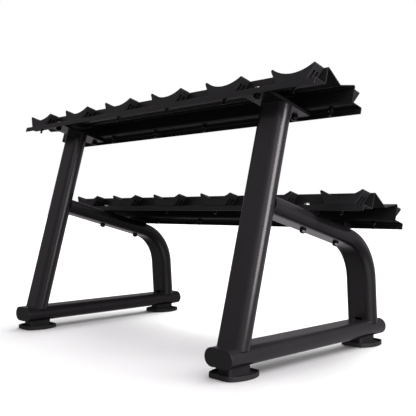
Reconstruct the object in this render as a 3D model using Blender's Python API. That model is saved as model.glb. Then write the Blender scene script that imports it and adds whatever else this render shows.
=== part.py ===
"""Two-tier dumbbell rack, in metres, +Z up.

Two end frames of flat-oval steel tube carry two trays of folded sheet steel, and each tray
carries two rows of moulded cradles (saddles) for the dumbbell heads. The rack runs along X
and its user stands on the -Y side, towards which both tiers tip down.
"""

import math

import bmesh
import bpy
from mathutils import Matrix, Vector

GAP = 0.0003

# Layout of the whole rack
PITCH = 0.25
SADDLES_PER_ROW = 6
FRAME_SPAN = 4 * PITCH
TILT = math.radians(15)
UPPER_TIER = Vector((0, 0.1281, 0.7335))
LOWER_TIER = Vector((0, -0.0881, 0.4203))

# Folded trays, as seen from the end: y runs across the tray, z stands off its floors
TRAY_LENGTH = 1.416
SHEET = 0.003
BEND_RADIUS = 0.0035
TRAY_HALF = 0.1056
LIP_DROP = 0.017
WALL_Y = 0.0622
WALL_HEIGHT = 0.047
VALLEY_HEIGHT = 0.0214
ROW_OFFSET = 0.084
FLOOR_TOP = SHEET / 2

# Saddles
SADDLE_DEPTH = 0.036
SADDLE_BASE_HALF = 0.049
SADDLE_HEIGHT = 0.0438
SADDLE_TIP_HALF = 0.0725
SADDLE_TIP_RADIUS = 0.004
SADDLE_WAIST = 0.0235
POCKET_WIDTH = 0.0065
POCKET_HEIGHT = 0.026
POCKET_DEPTH = 0.014
POCKET_OFFSET = 0.0065
SADDLE_BOLT_HOLE = 0.0045
SADDLE_BOLT_RECESS = 0.009
SADDLE_RECESS_FLOOR = 0.018

# Flat-oval frame tube
TUBE_WIDTH = 0.1
TUBE_DEPTH = 0.05
TUBE_WALL = 0.0025
TUBE_ROUND = TUBE_DEPTH / 2
BASE_CENTRE_Z = 0.055
BASE_LENGTH = 0.724
CAP_FLANGE = 0.003
CAP_PLUG = 0.022
UPRIGHT_OFFSET = 0.001
COPE_ANGLE = math.radians(45)

# Front leg, drawn in the lower tier's own axes
LEG_DROP_BELOW_FLOOR = 0.0425
LEG_CORNER = -0.2165
LEG_BEND_RADIUS = 0.155
LEG_BEND = math.radians(71)
LEG_FOOT_LENGTH = 0.29
LEG_ENTRY = 0.009
SLOT_WIDTH = 0.026
SLOT_HEIGHT = 0.008

# Mounting plates, spacers and the bolts through them
PLATE_THICKNESS = 0.009
PLATE_HALF_WIDTH = 0.048
PLATE_HALF_LENGTH = 0.0975
SPACER_HALF_WIDTH = 0.036
SPACER_DEPTH = 0.038
BOLT_RADIUS = 0.005
BOLT_HOLE = 0.0055
WASHER_RADIUS = 0.0105
WASHER_THICKNESS = 0.002
HEX_RADIUS = 0.0095
HEAD_HEIGHT = 0.0065
NUT_HEIGHT = 0.008
BOLT_STICK_OUT = 0.002

# Feet
FOOT_SPAN = 0.599
FOOT_CENTRE_Y = 0.002
PAD_HALF_WIDTH = 0.057
PAD_HALF_LENGTH = 0.076
PAD_FLAT = 0.060
PAD_CORNER = 0.010
PAD_HEIGHT = 0.013
PAD_FLOOR = 0.005
PAD_RIM = 0.003
PAD_CHAMFER = 0.0015
BLOCK_WIDTH = 0.045
BLOCK_LENGTH = 0.083
BLOCK_CORNER = 0.008

# Facets in a full circle
HEX_FACETS = 6
SMALL_FACETS = 12
ROUND_FACETS = 16
TUBE_FACETS = 24
PAD_FACETS = 40

# Steps along shorter arcs
CORNER_STEPS = 3
COPE_STEPS = 3
TIP_STEPS = 4
LEG_BEND_STEPS = 9
BOWL_STEPS = 12

# Reach of a drill past the face it starts from, and the angles that shade smooth
DRILL_REACH = 0.01
SMOOTH_BELOW = 40
TRAY_SMOOTH_BELOW = 20

FINISHES = {
    "frame_powder_coat": ((0.020, 0.019, 0.020), 0.45, 0.0),
    "tray_powder_coat": ((0.012, 0.012, 0.013), 0.5, 0.0),
    "saddle_plastic": ((0.014, 0.014, 0.015), 0.55, 0.0),
    "cap_plastic": ((0.016, 0.016, 0.017), 0.5, 0.0),
    "foot_rubber": ((0.015, 0.015, 0.015), 0.7, 0.0),
    "zinc_steel": ((0.60, 0.60, 0.58), 0.35, 1.0),
}


def make_finish(name):
    """One Principled material from the FINISHES table."""
    colour, roughness, metallic = FINISHES[name]
    material = bpy.data.materials.new(name)
    material.use_nodes = True
    shader = material.node_tree.nodes["Principled BSDF"]
    shader.inputs["Base Color"].default_value = (*colour, 1)
    shader.inputs["Roughness"].default_value = roughness
    shader.inputs["Metallic"].default_value = metallic
    return material


def arc(centre, radius, start, end, steps):
    """Points of a circular arc, both ends included; angles in radians."""
    angles = [start + (end - start) * i / steps for i in range(steps + 1)]
    return [(centre[0] + radius * math.cos(a), centre[1] + radius * math.sin(a)) for a in angles]


def racetrack(width, depth, grow=0.0):
    """Outline of a flat oval: two straight sides joined by half circles at +X and -X."""
    radius = depth / 2 + grow
    centre = (width - depth) / 2
    steps = TUBE_FACETS // 2
    right = arc((centre, 0), radius, -math.pi / 2, math.pi / 2, steps)
    left = arc((-centre, 0), radius, math.pi / 2, 3 * math.pi / 2, steps)
    return right + left


def rounded_rectangle(width, length, radius):
    """Outline of a rectangle with quarter-circle corners."""
    points = []
    for quarter, (sx, sy) in enumerate(((1, 1), (-1, 1), (-1, -1), (1, -1))):
        centre = (sx * (width / 2 - radius), sy * (length / 2 - radius))
        start = quarter * math.pi / 2
        points += arc(centre, radius, start, start + math.pi / 2, CORNER_STEPS)
    return points


def rectangle(x0, x1, y0, y1):
    """Outline of a plain rectangle."""
    return [(x0, y0), (x1, y0), (x1, y1), (x0, y1)]


def folded_sheet(line, thickness, radius):
    """Outline of a sheet bent along a centre line, with an arc at every bend."""
    line = [Vector(p) for p in line]
    sides = ([], [])
    for i, point in enumerate(line):
        before = (point - line[max(i - 1, 0)]).normalized()
        after = (line[min(i + 1, len(line) - 1)] - point).normalized()
        if i == 0 or i == len(line) - 1:
            along = after if i == 0 else before
            normal = Vector((-along.y, along.x)) * thickness / 2
            sides[0].append(point + normal)
            sides[1].append(point - normal)
            continue
        turn = before.angle_signed(after)
        inward = -1 if turn > 0 else 1
        reach = radius * math.tan(abs(turn) / 2)
        tangent = point - before * reach
        centre = tangent + Vector((-before.y, before.x)) * inward * radius
        start = math.atan2(tangent.y - centre.y, tangent.x - centre.x)
        for side, shift in ((0, -inward), (1, inward)):
            bend_radius = radius + shift * thickness / 2
            bend = arc(centre, bend_radius, start, start - turn, CORNER_STEPS)
            sides[side].extend(Vector(p) for p in bend)
    return [tuple(p) for p in sides[0] + sides[1][::-1]]


def skin_rings(bm, rings):
    """Joins neighbouring rings of the same number of points with quads."""
    for low, high in zip(rings, rings[1:]):
        for i in range(len(low)):
            j = (i + 1) % len(low)
            bm.faces.new((low[i], low[j], high[j], high[i]))


def closed_mesh(bm):
    """Turns a closed bmesh into mesh data with its faces pointing outwards."""
    bmesh.ops.recalc_face_normals(bm, faces=bm.faces)
    mesh = bpy.data.meshes.new("part")
    bm.to_mesh(mesh)
    bm.free()
    return mesh


def prism(outline, low, high, place=None):
    """Solid of one outline between two heights on its own Z axis, then moved by place."""
    bm = bmesh.new()
    rings = [[bm.verts.new((x, y, z)) for x, y in outline] for z in (low, high)]
    skin_rings(bm, rings)
    bm.faces.new(rings[0])
    bm.faces.new(rings[1])
    mesh = closed_mesh(bm)
    if place:
        mesh.transform(place)
    return mesh


def drum(radius, low, high, facets, centre=(0, 0)):
    """Upright prism with a round or, with six facets, hexagonal outline."""
    outline = arc(centre, radius, 0, 2 * math.pi, facets)[:-1]
    return prism(outline, low, high)


def hollow_sweep(frames, outer, inner):
    """Open-ended tube whose two outlines follow a list of placement matrices."""
    bm = bmesh.new()
    walls = []
    for outline in (outer, inner):
        rings = [[bm.verts.new(m @ Vector((x, y, 0))) for x, y in outline] for m in frames]
        skin_rings(bm, rings)
        walls.append(rings)
    skin_rings(bm, [walls[0][0], walls[1][0]])
    skin_rings(bm, [walls[0][-1], walls[1][-1]])
    return closed_mesh(bm)


def combine(mesh, others, operation):
    """Applies one exact Boolean after another and returns the finished mesh."""
    scene = bpy.context.scene.collection
    body = bpy.data.objects.new("body", mesh)
    scene.objects.link(body)
    tools = []
    for other in others:
        tool = bpy.data.objects.new("tool", other)
        scene.objects.link(tool)
        modifier = body.modifiers.new("step", "BOOLEAN")
        modifier.operation = operation
        modifier.solver = "EXACT"
        modifier.object = tool
        tools.append(tool)
    graph = bpy.context.evaluated_depsgraph_get()
    result = bpy.data.meshes.new_from_object(body.evaluated_get(graph))
    for obj in (body, *tools):
        data = obj.data
        bpy.data.objects.remove(obj)
        bpy.data.meshes.remove(data)
    return result


def cut(mesh, *tools):
    """The mesh with the tools taken away."""
    return combine(mesh, tools, "DIFFERENCE")


def fuse(mesh, *others):
    """The mesh and the others as one body."""
    return combine(mesh, others, "UNION")


def add_node(name, mesh, finish, location=(0, 0, 0), tilt=0.0, smooth_below=SMOOTH_BELOW):
    """Places one sub-part, smooth over its round stretches and crisp at its edges."""
    mesh.name = name
    mesh.materials.clear()
    mesh.materials.append(finish)
    mesh.polygons.foreach_set("use_smooth", [True] * len(mesh.polygons))
    mesh.set_sharp_from_angle(angle=math.radians(smooth_below))
    obj = bpy.data.objects.new(name, mesh)
    obj.location = location
    obj.rotation_euler = (tilt, 0, 0)
    bpy.context.scene.collection.objects.link(obj)
    return obj


def on_tier(tier, x, y=0.0, z=0.0):
    """World position of a point given along, across and off a tier's floors."""
    return tier + Matrix.Rotation(TILT, 3, "X") @ Vector((x, y, z))


def saddle_xs():
    """Positions of the saddles along the rack, from -X to +X."""
    middle = (SADDLES_PER_ROW - 1) / 2
    return [(i - middle) * PITCH for i in range(SADDLES_PER_ROW)]


def frame_xs():
    """Positions of the two end frames."""
    return (-FRAME_SPAN / 2, FRAME_SPAN / 2)


def make_tray():
    """Tray with two flat floors, a shallow valley between them and its bolt holes."""
    half_section = [
        (TRAY_HALF, -LIP_DROP),
        (TRAY_HALF, 0),
        (WALL_Y, 0),
        (WALL_Y, WALL_HEIGHT),
    ]
    mirrored = [(-y, z) for y, z in reversed(half_section)]
    line = half_section + [(0, VALLEY_HEIGHT)] + mirrored
    along_x = Matrix(((0, 0, 1, 0), (1, 0, 0, 0), (0, 1, 0, 0), (0, 0, 0, 1)))
    outline = folded_sheet(line, SHEET, BEND_RADIUS)
    tray = prism(outline, -TRAY_LENGTH / 2, TRAY_LENGTH / 2, along_x)
    holes = []
    for y in (-ROW_OFFSET, ROW_OFFSET):
        for x in saddle_xs():
            holes.append(drum(SADDLE_BOLT_HOLE, -DRILL_REACH, DRILL_REACH, SMALL_FACETS, (x, y)))
        for x in frame_xs():
            holes.append(drum(BOLT_HOLE, -DRILL_REACH, DRILL_REACH, SMALL_FACETS, (x, y)))
    return cut(tray, *holes)


def saddle_side_angle():
    """Angle above the floor of a saddle's leaning side, which runs tangent to its round tip."""
    tip_x = SADDLE_TIP_HALF - SADDLE_TIP_RADIUS
    tip_z = SADDLE_HEIGHT - SADDLE_TIP_RADIUS
    reach = math.hypot(tip_x - SADDLE_BASE_HALF, tip_z)
    to_tip = math.atan2(tip_z, tip_x - SADDLE_BASE_HALF)
    return to_tip - math.asin(SADDLE_TIP_RADIUS / reach)


def saddle_outline():
    """Front view of a saddle: a flat foot, leaning sides, round tips and a hollow arc."""
    tip_x = SADDLE_TIP_HALF - SADDLE_TIP_RADIUS
    tip_z = SADDLE_HEIGHT - SADDLE_TIP_RADIUS
    rise = tip_z - SADDLE_WAIST
    span = tip_x**2 + rise**2 - SADDLE_TIP_RADIUS**2
    hollow = span / (2 * (rise + SADDLE_TIP_RADIUS))
    centre_z = SADDLE_WAIST + hollow
    to_centre = math.atan2(centre_z - tip_z, -tip_x)
    side = saddle_side_angle()
    tip = arc((tip_x, tip_z), SADDLE_TIP_RADIUS, side - math.pi / 2, to_centre, TIP_STEPS)
    swing = to_centre + math.pi
    bowl = arc((0, centre_z), hollow, swing, 3 * math.pi - swing, BOWL_STEPS)
    mirrored_tip = [(-x, z) for x, z in reversed(tip)]
    foot = [(-SADDLE_BASE_HALF, 0), (SADDLE_BASE_HALF, 0)]
    return tip + bowl[1:-1] + mirrored_tip + foot


def make_saddle():
    """Saddle with its bolt hole and two open pockets in each leaning side."""
    lean = 1 / math.tan(saddle_side_angle())
    upright = Matrix.Rotation(math.pi / 2, 4, "X")
    body = prism(saddle_outline(), -SADDLE_DEPTH / 2, SADDLE_DEPTH / 2, upright)
    top = SADDLE_BASE_HALF + lean * POCKET_HEIGHT
    pockets = []
    for side in (-1, 1):
        outline = [
            (side * (SADDLE_BASE_HALF - POCKET_DEPTH - lean * SADDLE_HEIGHT), -SADDLE_HEIGHT),
            (side * (SADDLE_BASE_HALF + POCKET_DEPTH), -SADDLE_HEIGHT),
            (side * (top + POCKET_DEPTH), POCKET_HEIGHT),
            (side * (top - POCKET_DEPTH), POCKET_HEIGHT),
        ]
        for y in (-POCKET_OFFSET, POCKET_OFFSET):
            low = y - POCKET_WIDTH / 2
            pockets.append(prism(outline, low, low + POCKET_WIDTH, upright))
    hole = drum(SADDLE_BOLT_HOLE, -DRILL_REACH, 2 * SADDLE_HEIGHT, SMALL_FACETS)
    recess = drum(SADDLE_BOLT_RECESS, SADDLE_RECESS_FLOOR, 2 * SADDLE_HEIGHT, SMALL_FACETS)
    return cut(body, *pockets, hole, recess)


def base_cutter(place):
    """Room for the base tube and all below the cope: a tube wraps the base tube's top and
    part of its shoulders, and is cut off level from there outwards."""
    centre = (TUBE_WIDTH - TUBE_DEPTH) / 2
    shoulder = arc((centre, 0), TUBE_ROUND + GAP, COPE_ANGLE, math.pi / 2, COPE_STEPS)
    mirrored = [(-x, z) for x, z in reversed(shoulder)]
    level = shoulder[0][1]
    below = [(-TUBE_WIDTH, level), (-TUBE_WIDTH, -TUBE_WIDTH), (TUBE_WIDTH, -TUBE_WIDTH)]
    outline = shoulder + mirrored + below + [(TUBE_WIDTH, level)]
    upright = Matrix.Rotation(math.pi / 2, 4, "X")
    return prism(outline, -BASE_LENGTH, BASE_LENGTH, place @ upright)


def make_upright(x, location):
    """Rear tube of an end frame, coped over the base tube."""
    outer = racetrack(TUBE_WIDTH, TUBE_DEPTH)
    inner = racetrack(TUBE_WIDTH, TUBE_DEPTH, -TUBE_WALL)
    top = -(FLOOR_TOP + PLATE_THICKNESS + 2 * GAP)
    bottom = -location.z / math.cos(TILT)
    frames = [Matrix.Translation((0, 0, z)) for z in (bottom, top)]
    tube = hollow_sweep(frames, outer, inner)
    to_local = (Matrix.Translation(location) @ Matrix.Rotation(TILT, 4, "X")).inverted()
    return cut(tube, base_cutter(to_local @ Matrix.Translation((x, 0, BASE_CENTRE_Z))))


def leg_frames():
    """Placements of the front leg's section, from the upright to below the base tube."""
    z = -LEG_DROP_BELOW_FLOOR
    reach = LEG_BEND_RADIUS * math.tan(LEG_BEND / 2)
    upright_face = on_tier(UPPER_TIER, 0, UPRIGHT_OFFSET - TUBE_DEPTH / 2) - LOWER_TIER
    start = (Matrix.Rotation(-TILT, 3, "X") @ upright_face).y + LEG_ENTRY
    turn_start = LEG_CORNER + reach
    centre = Vector((0, turn_start, z - LEG_BEND_RADIUS))
    to_minus_y = Matrix.Rotation(math.pi / 2, 4, "X")
    frames = [Matrix.Translation((0, start, z)) @ to_minus_y]
    for i in range(LEG_BEND_STEPS + 1):
        turn = Matrix.Rotation(LEG_BEND * i / LEG_BEND_STEPS, 4, "X")
        point = centre + turn.to_3x3() @ Vector((0, 0, LEG_BEND_RADIUS))
        frames.append(Matrix.Translation(point) @ turn @ to_minus_y)
    last = frames[-1]
    frames.append(last @ Matrix.Translation((0, 0, LEG_FOOT_LENGTH - reach)))
    return frames


def upright_cutter(place):
    """Room for an upright in the leg's upper end."""
    outline = racetrack(TUBE_WIDTH, TUBE_DEPTH, GAP)
    return prism(outline, -PITCH * 2, PITCH, place)


def make_leg(x):
    """Front leg: straight under the lower tray, bent down, coped over the base tube.

    Its upper end reaches a little way round the upright and leaves a slim gap at the edges.
    """
    outer = racetrack(TUBE_WIDTH, TUBE_DEPTH)
    inner = racetrack(TUBE_WIDTH, TUBE_DEPTH, -TUBE_WALL)
    frames = leg_frames()
    tube = hollow_sweep(frames, outer, inner)
    location = on_tier(LOWER_TIER, x)
    to_local = (Matrix.Translation(location) @ Matrix.Rotation(TILT, 4, "X")).inverted()
    base = base_cutter(to_local @ Matrix.Translation((x, 0, BASE_CENTRE_Z)))
    upright_axis = on_tier(UPPER_TIER, 0, UPRIGHT_OFFSET) - LOWER_TIER
    upright_place = Matrix.Translation(Matrix.Rotation(-TILT, 3, "X") @ upright_axis)
    upright = upright_cutter(upright_place)
    bolt_holes = [
        drum(BOLT_HOLE, -2 * TUBE_DEPTH, 0, SMALL_FACETS, (0, y)) for y in (-ROW_OFFSET, ROW_OFFSET)
    ]
    base_top = BASE_CENTRE_Z + TUBE_DEPTH / 2
    foot_y = (to_local.inverted() @ frames[-1].translation).y
    vent_outline = rectangle(-SLOT_WIDTH / 2, SLOT_WIDTH / 2, foot_y, foot_y + TUBE_WIDTH)
    vent_place = to_local @ Matrix.Translation((x, 0, base_top))
    vent = prism(vent_outline, -SLOT_HEIGHT, SLOT_HEIGHT, vent_place)
    return cut(tube, upright, base, vent, *bolt_holes)


def make_base_tube():
    """Floor tube of an end frame, shorter than the frame by its two caps."""
    outer = racetrack(TUBE_WIDTH, TUBE_DEPTH)
    inner = racetrack(TUBE_WIDTH, TUBE_DEPTH, -TUBE_WALL)
    half = BASE_LENGTH / 2 - CAP_FLANGE - GAP
    along_y = Matrix.Rotation(math.pi / 2, 4, "X")
    frames = [along_y @ Matrix.Translation((0, 0, z)) for z in (-half, half)]
    return hollow_sweep(frames, outer, inner)


def make_cap(side):
    """End cap: a flange flush with the tube and a plug inside it, for one end (-1 or 1)."""
    turn = Matrix.Rotation(-side * math.pi / 2, 4, "X")
    flange = prism(racetrack(TUBE_WIDTH, TUBE_DEPTH), -CAP_FLANGE, 0, turn)
    plug_outline = racetrack(TUBE_WIDTH, TUBE_DEPTH, -TUBE_WALL - GAP)
    plug = prism(plug_outline, -CAP_PLUG, -CAP_FLANGE / 2, turn)
    return fuse(flange, plug)


def make_plate():
    """Plate on an upright's top, bolted under both floors of the upper tray."""
    outline = rectangle(-PLATE_HALF_WIDTH, PLATE_HALF_WIDTH, -PLATE_HALF_LENGTH, PLATE_HALF_LENGTH)
    plate = prism(outline, -PLATE_THICKNESS, 0)
    holes = [
        drum(BOLT_HOLE, -DRILL_REACH, DRILL_REACH, SMALL_FACETS, (0, y))
        for y in (-ROW_OFFSET, ROW_OFFSET)
    ]
    return cut(plate, *holes)


def make_spacer(height):
    """Block between a lower tray floor and the leg, its foot following the oval tube."""
    flat = (TUBE_WIDTH - TUBE_DEPTH) / 2
    radius = TUBE_ROUND + GAP
    centre_z = -height - radius
    sweep = math.acos((SPACER_HALF_WIDTH - flat) / radius)
    right = arc((flat, centre_z), radius, math.pi / 2, sweep, CORNER_STEPS)
    outline = [(SPACER_HALF_WIDTH, 0), (-SPACER_HALF_WIDTH, 0)]
    outline += [(-x, z) for x, z in reversed(right)] + right
    upright = Matrix.Rotation(math.pi / 2, 4, "X")
    block = prism(outline, -SPACER_DEPTH / 2, SPACER_DEPTH / 2, upright)
    return cut(block, drum(BOLT_HOLE, -2 * height, height, SMALL_FACETS))


def make_frame_bolt(grip):
    """Bolt with head, two washers and nut, its origin on the floor it clamps from above."""
    washer = GAP + WASHER_THICKNESS
    under = -grip - GAP
    nut = under - WASHER_THICKNESS
    overlap = BOLT_RADIUS / 10
    shaft = drum(BOLT_RADIUS, nut - NUT_HEIGHT - BOLT_STICK_OUT, washer, SMALL_FACETS)
    return fuse(
        shaft,
        drum(WASHER_RADIUS, GAP, washer, ROUND_FACETS),
        drum(HEX_RADIUS, washer - overlap, washer + HEAD_HEIGHT, HEX_FACETS),
        drum(WASHER_RADIUS, nut, under, ROUND_FACETS),
        drum(HEX_RADIUS, nut - NUT_HEIGHT, nut + overlap, HEX_FACETS),
    )


def pad_end(y, inset):
    """Eases a distance along a pad's oval over into the flat end of the pad."""
    length = PAD_HALF_LENGTH - inset
    start = PAD_FLAT - PAD_CORNER - inset
    if abs(y) <= start:
        return y
    left = 1 - (abs(y) - start) / (length - start)
    eased = start + PAD_CORNER * (1 - left ** ((length - start) / PAD_CORNER))
    return math.copysign(eased, y)


def make_pad():
    """Foot pad: a shallow oval dish with a thin rim, its two Y ends flattened."""
    levels = (
        (PAD_CHAMFER, 0),
        (0, PAD_CHAMFER),
        (0, PAD_HEIGHT),
        (PAD_RIM, PAD_HEIGHT),
        (PAD_RIM, PAD_FLOOR),
    )
    circle = arc((0, 0), 1, 0, 2 * math.pi, PAD_FACETS)[:-1]
    bm = bmesh.new()
    rings = []
    for inset, z in levels:
        ring = []
        for cosine, sine in circle:
            x = (PAD_HALF_WIDTH - inset) * cosine
            y = pad_end((PAD_HALF_LENGTH - inset) * sine, inset)
            ring.append(bm.verts.new((x, y, z)))
        rings.append(ring)
    skin_rings(bm, rings)
    bm.faces.new(rings[0])
    bm.faces.new(rings[-1])
    return closed_mesh(bm)


def make_block():
    """Block that carries the base tube on a pad."""
    outline = rounded_rectangle(BLOCK_WIDTH, BLOCK_LENGTH, BLOCK_CORNER)
    underside = BASE_CENTRE_Z - TUBE_DEPTH / 2
    return prism(outline, PAD_FLOOR + GAP, underside - GAP)


def build_tier(label, tier, finishes):
    """One tray with its front and back rows of saddles."""
    tray = make_tray()
    add_node(f"{label}_tray", tray, finishes["tray_powder_coat"], tier, TILT, TRAY_SMOOTH_BELOW)
    saddle = make_saddle()
    for row, y in (("front", -ROW_OFFSET), ("back", ROW_OFFSET)):
        for number, x in enumerate(saddle_xs(), 1):
            place = on_tier(tier, x, y, FLOOR_TOP + GAP)
            name = f"{label}_{row}_saddle_{number}"
            add_node(name, saddle.copy(), finishes["saddle_plastic"], place, TILT)
    bpy.data.meshes.remove(saddle)


def build_end_frame(label, x, finishes):
    """Base tube, upright, leg, feet and all that bolts one end frame to the trays."""
    coat = finishes["frame_powder_coat"]
    steel = finishes["zinc_steel"]
    add_node(f"{label}_base_tube", make_base_tube(), coat, (x, 0, BASE_CENTRE_Z))
    upright_at = on_tier(UPPER_TIER, x, UPRIGHT_OFFSET)
    add_node(f"{label}_upright", make_upright(x, upright_at), coat, upright_at, TILT)
    add_node(f"{label}_leg", make_leg(x), coat, on_tier(LOWER_TIER, x), TILT)
    plate_at = on_tier(UPPER_TIER, x, 0, -FLOOR_TOP - GAP)
    add_node(f"{label}_top_plate", make_plate(), coat, plate_at, TILT)

    leg_top = LEG_DROP_BELOW_FLOOR - TUBE_DEPTH / 2
    spacer_height = leg_top - FLOOR_TOP - 2 * GAP
    plate_grip = SHEET + GAP + PLATE_THICKNESS
    leg_grip = FLOOR_TOP + LEG_DROP_BELOW_FLOOR + TUBE_DEPTH / 2
    for side, sign in (("front", -1), ("back", 1)):
        y = sign * ROW_OFFSET
        spacer_at = on_tier(LOWER_TIER, x, y, -FLOOR_TOP - GAP)
        add_node(f"{label}_{side}_spacer", make_spacer(spacer_height), coat, spacer_at, TILT)
        for level, tier, grip in (("upper", UPPER_TIER, plate_grip), ("lower", LOWER_TIER, leg_grip)):
            bolt_at = on_tier(tier, x, y, FLOOR_TOP)
            name = f"{label}_{level}_{side}_bolt"
            add_node(name, make_frame_bolt(grip), steel, bolt_at, TILT)
        cap_at = (x, sign * BASE_LENGTH / 2, BASE_CENTRE_Z)
        add_node(f"{label}_{side}_cap", make_cap(sign), finishes["cap_plastic"], cap_at)
        foot_at = (x, FOOT_CENTRE_Y + sign * FOOT_SPAN / 2, 0)
        add_node(f"{label}_{side}_foot_block", make_block(), finishes["cap_plastic"], foot_at)
        add_node(f"{label}_{side}_foot_pad", make_pad(), finishes["foot_rubber"], foot_at)


def main():
    for obj in list(bpy.data.objects):
        bpy.data.objects.remove(obj)
    finishes = {name: make_finish(name) for name in FINISHES}
    build_tier("upper", UPPER_TIER, finishes)
    build_tier("lower", LOWER_TIER, finishes)
    for label, x in zip(("left", "right"), frame_xs()):
        build_end_frame(label, x, finishes)


main()
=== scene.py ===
"""Looks of the two-tier dumbbell rack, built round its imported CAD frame. Metres, +Z up.

Every visible piece is rebuilt at full detail in the place of its CAD node: folded trays with
rounded cut edges, moulded saddles with their bolts, flat-oval tubes with weld beads, end caps,
feet and frame bolts. The rack runs along X and its user stands on the -Y side.
"""

import math

import bmesh
import bpy
from mathutils import Matrix, Vector


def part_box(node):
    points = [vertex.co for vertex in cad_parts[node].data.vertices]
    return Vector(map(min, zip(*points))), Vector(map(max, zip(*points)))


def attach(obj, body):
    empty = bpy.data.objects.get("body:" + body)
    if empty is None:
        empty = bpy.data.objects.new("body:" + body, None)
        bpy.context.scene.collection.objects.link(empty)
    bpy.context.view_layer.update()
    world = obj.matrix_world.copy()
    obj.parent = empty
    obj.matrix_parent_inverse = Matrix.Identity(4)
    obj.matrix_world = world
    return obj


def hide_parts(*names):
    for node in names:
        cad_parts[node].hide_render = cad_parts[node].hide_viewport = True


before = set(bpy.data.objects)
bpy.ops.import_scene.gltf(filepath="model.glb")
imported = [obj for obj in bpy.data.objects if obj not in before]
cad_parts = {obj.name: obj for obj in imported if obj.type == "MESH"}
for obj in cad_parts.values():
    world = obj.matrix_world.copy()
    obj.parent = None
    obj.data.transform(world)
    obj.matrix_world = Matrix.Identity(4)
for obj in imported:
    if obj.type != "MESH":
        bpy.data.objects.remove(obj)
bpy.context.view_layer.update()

GAP = 0.0003
TILT = math.radians(15)
LEAN = Matrix.Rotation(TILT, 4, "X")

# Folded trays, as seen from the end
SHEET = 0.003
BEND_RADIUS = 0.0035
BEND_STEPS = 7
TRAY_HALF = 0.1056
LIP_DROP = 0.017
WALL_Y = 0.0622
WALL_HEIGHT = 0.047
VALLEY_HEIGHT = 0.0214
FLOOR_TOP = SHEET / 2
CUT_EDGE = 0.0006
CUT_TAPER = 0.999  # share of that rounding by which each face draws in at a tray's end

# Saddles and their bolts
SADDLES_IN_ROW = 6
SADDLE_DEPTH = 0.036
SADDLE_BASE_HALF = 0.049
SADDLE_HEIGHT = 0.0438
SADDLE_TIP_HALF = 0.0725
SADDLE_TIP_RADIUS = 0.004
SADDLE_WAIST = 0.0235
SADDLE_EDGE = 0.0009
BOWL_STEPS = 36
POCKET_WIDTH = 0.0065
POCKET_HEIGHT = 0.026
POCKET_DEPTH = 0.014
POCKET_OFFSET = 0.0065
RECESS_RADIUS = 0.009
RECESS_FLOOR = 0.018
M8 = {"shaft": 0.004, "washer": 0.0082, "washer_thickness": 0.0016, "hex": 0.0075, "nut": 0.0062}
SADDLE_BOLT_REACH = 0.0226
BUTTON_RADIUS = 0.007
BUTTON_TOP_RADIUS = 0.0035
BUTTON_HEIGHT = 0.004
BUTTON_RIM = 0.001
BUTTON_STEPS = 6
SOCKET_RADIUS = 0.0029

# Holes: room round a bolt's shaft, and how far a drill goes past the surface it starts from
HOLE_CLEARANCE = 0.0005
DRILL_REACH = 0.02

# Flat-oval tube
TUBE_WIDTH = 0.1
TUBE_DEPTH = 0.05
TUBE_ROUND = TUBE_DEPTH / 2
TUBE_WALL = 0.0025
UPRIGHT_OFFSET = 0.001
COPE_ANGLE = math.radians(45)
CAP_FLANGE = 0.003
CAP_PLUG = 0.022
CAP_EDGE = 0.001

# Front leg, in the lower tier's own axes
LEG_DROP_BELOW_FLOOR = 0.0425
LEG_CORNER = -0.2165
LEG_BEND_RADIUS = 0.155
LEG_BEND = math.radians(71)
LEG_BEND_STEPS = 30
LEG_FOOT_LENGTH = 0.29
LEG_ENTRY = 0.009
SLOT_WIDTH = 0.026
SLOT_HEIGHT = 0.008
SLOT_CORNER = 0.002

# Plates, spacers and frame bolts
PLATE_THICKNESS = 0.009
PLATE_HALF_WIDTH = 0.048
PLATE_HALF_LENGTH = 0.0975
PLATE_CORNER = 0.001
PLATE_EDGE = 0.0006
SPACER_HALF_WIDTH = 0.036
SPACER_DEPTH = 0.038
SPACER_EDGE = 0.0008
M10 = {"shaft": 0.005, "washer": 0.0105, "washer_thickness": 0.002, "hex": 0.0095, "nut": 0.008}
HEAD_HEIGHT = 0.0065
HEX_CHAMFER = math.radians(32)
HEX_FACE = 0.97
BOLT_STICK_OUT = 0.002
THREAD_PITCH = 0.0015
THREAD_DEPTH = 0.0006

# Feet. As points of inset and height, PAD_SOLE goes up the sole's edge, and PAD_DISH goes down
# from the rim's inner side to the dish's floor and counts from those two.
PAD_OVERHANG = 0.016
PAD_CORNER = 0.010
PAD_FLOOR = 0.005
PAD_RIM = 0.003
PAD_EDGE = 0.0008
PAD_SOLE = ((0.0015, 0), (0.0004, 0.0006), (0, 0.0015))
PAD_DISH = ((0.0005, 0.0012), (0.002, 0))
PAD_FACETS = 96
BLOCK_CORNER = 0.008
BLOCK_EDGE = 0.0007

# Weld beads: the ripple's length, how far it and a slower unevenness swell the bead, how
# slender its ends are, and how far it stops from a vent's middle
WELD_RADIUS = 0.0016
WELD_STEP = 0.0009
WELD_FACETS = 10
WELD_RIPPLE = 0.0034
WELD_SWELL = 0.1
WELD_UNEVEN = 0.04
WELD_UNEVEN_RATE = 900
WELD_END = 0.4
WELD_LEAST_POINTS = 8
WELD_STEEP = 0.1
WELD_PAST_FLAT = 0.004
WELD_VENT_GAP = 0.6 * SLOT_WIDTH
COPE_STEPS = 24

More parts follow.
